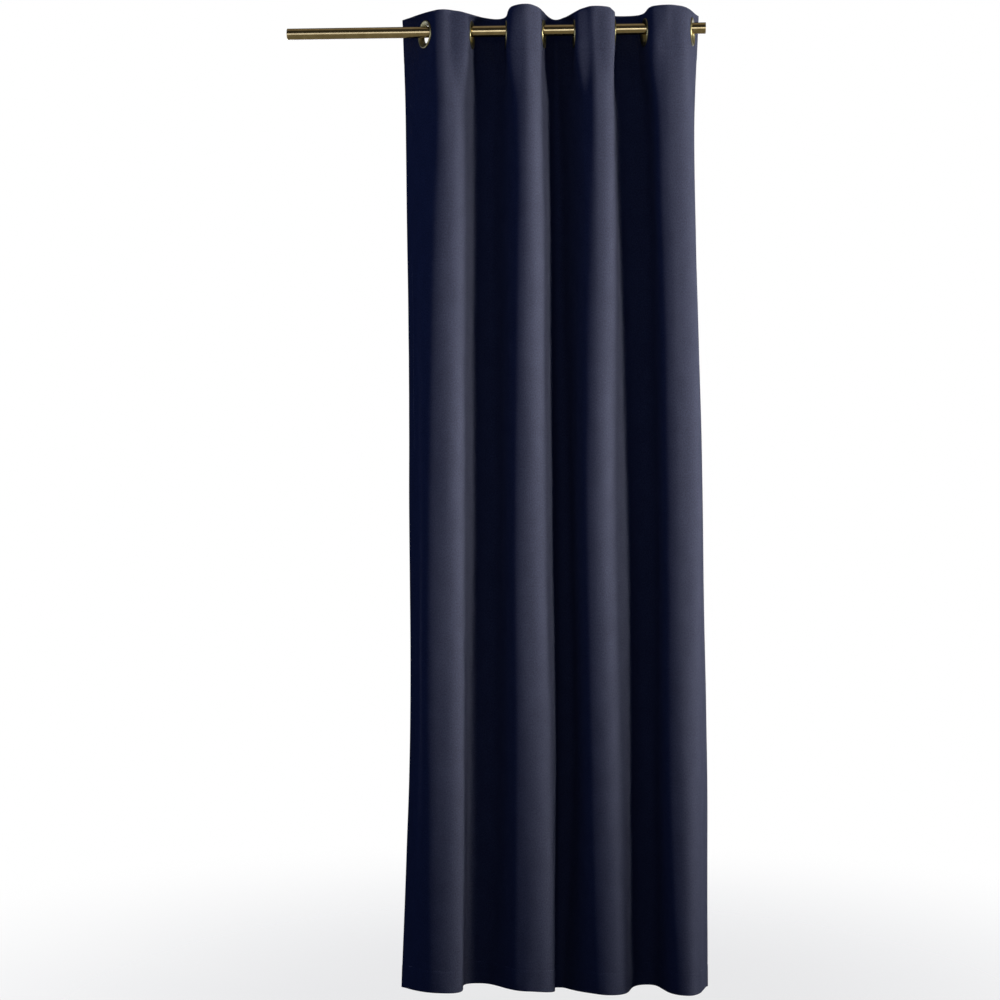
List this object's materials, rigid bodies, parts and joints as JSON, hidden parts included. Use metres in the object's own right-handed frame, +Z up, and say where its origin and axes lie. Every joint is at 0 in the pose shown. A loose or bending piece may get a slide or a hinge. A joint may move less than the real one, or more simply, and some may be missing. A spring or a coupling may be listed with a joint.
{
  "type": "velvet eyelet curtain on a rod",
  "caption": "Full-length velvet curtain hanging in soft vertical folds by round metal eyelets threaded on a plain round rod.",
  "frame": {"origin": "on the rod's axis, above the middle of the cloth", "axes": "+X along the rod to its right end, +Y to the back of the curtain, towards the window, +Z up"},
  "size_m": [1.0609, 0.155, 2.458],
  "materials": {
    "velvet": "matt dark navy velvet with a short soft pile",
    "rod_brass": "brushed antique brass",
    "eyelet_brass": "satin antique brass"
  },
  "bodies": {
    "root": {"rod": "rod_brass", "heading": "velvet", "panel": "velvet", "eyelet_1_front": "eyelet_brass", "eyelet_1_back": "eyelet_brass", "eyelet_2_front": "eyelet_brass", "eyelet_2_back": "eyelet_brass", "eyelet_3_front": "eyelet_brass", "eyelet_3_back": "eyelet_brass", "eyelet_4_front": "eyelet_brass", "eyelet_4_back": "eyelet_brass", "eyelet_5_front": "eyelet_brass", "eyelet_5_back": "eyelet_brass", "eyelet_6_front": "eyelet_brass", "eyelet_6_back": "eyelet_brass", "eyelet_7_front": "eyelet_brass", "eyelet_7_back": "eyelet_brass", "eyelet_8_front": "eyelet_brass", "eyelet_8_back": "eyelet_brass"}
  },
  "joints": []
}
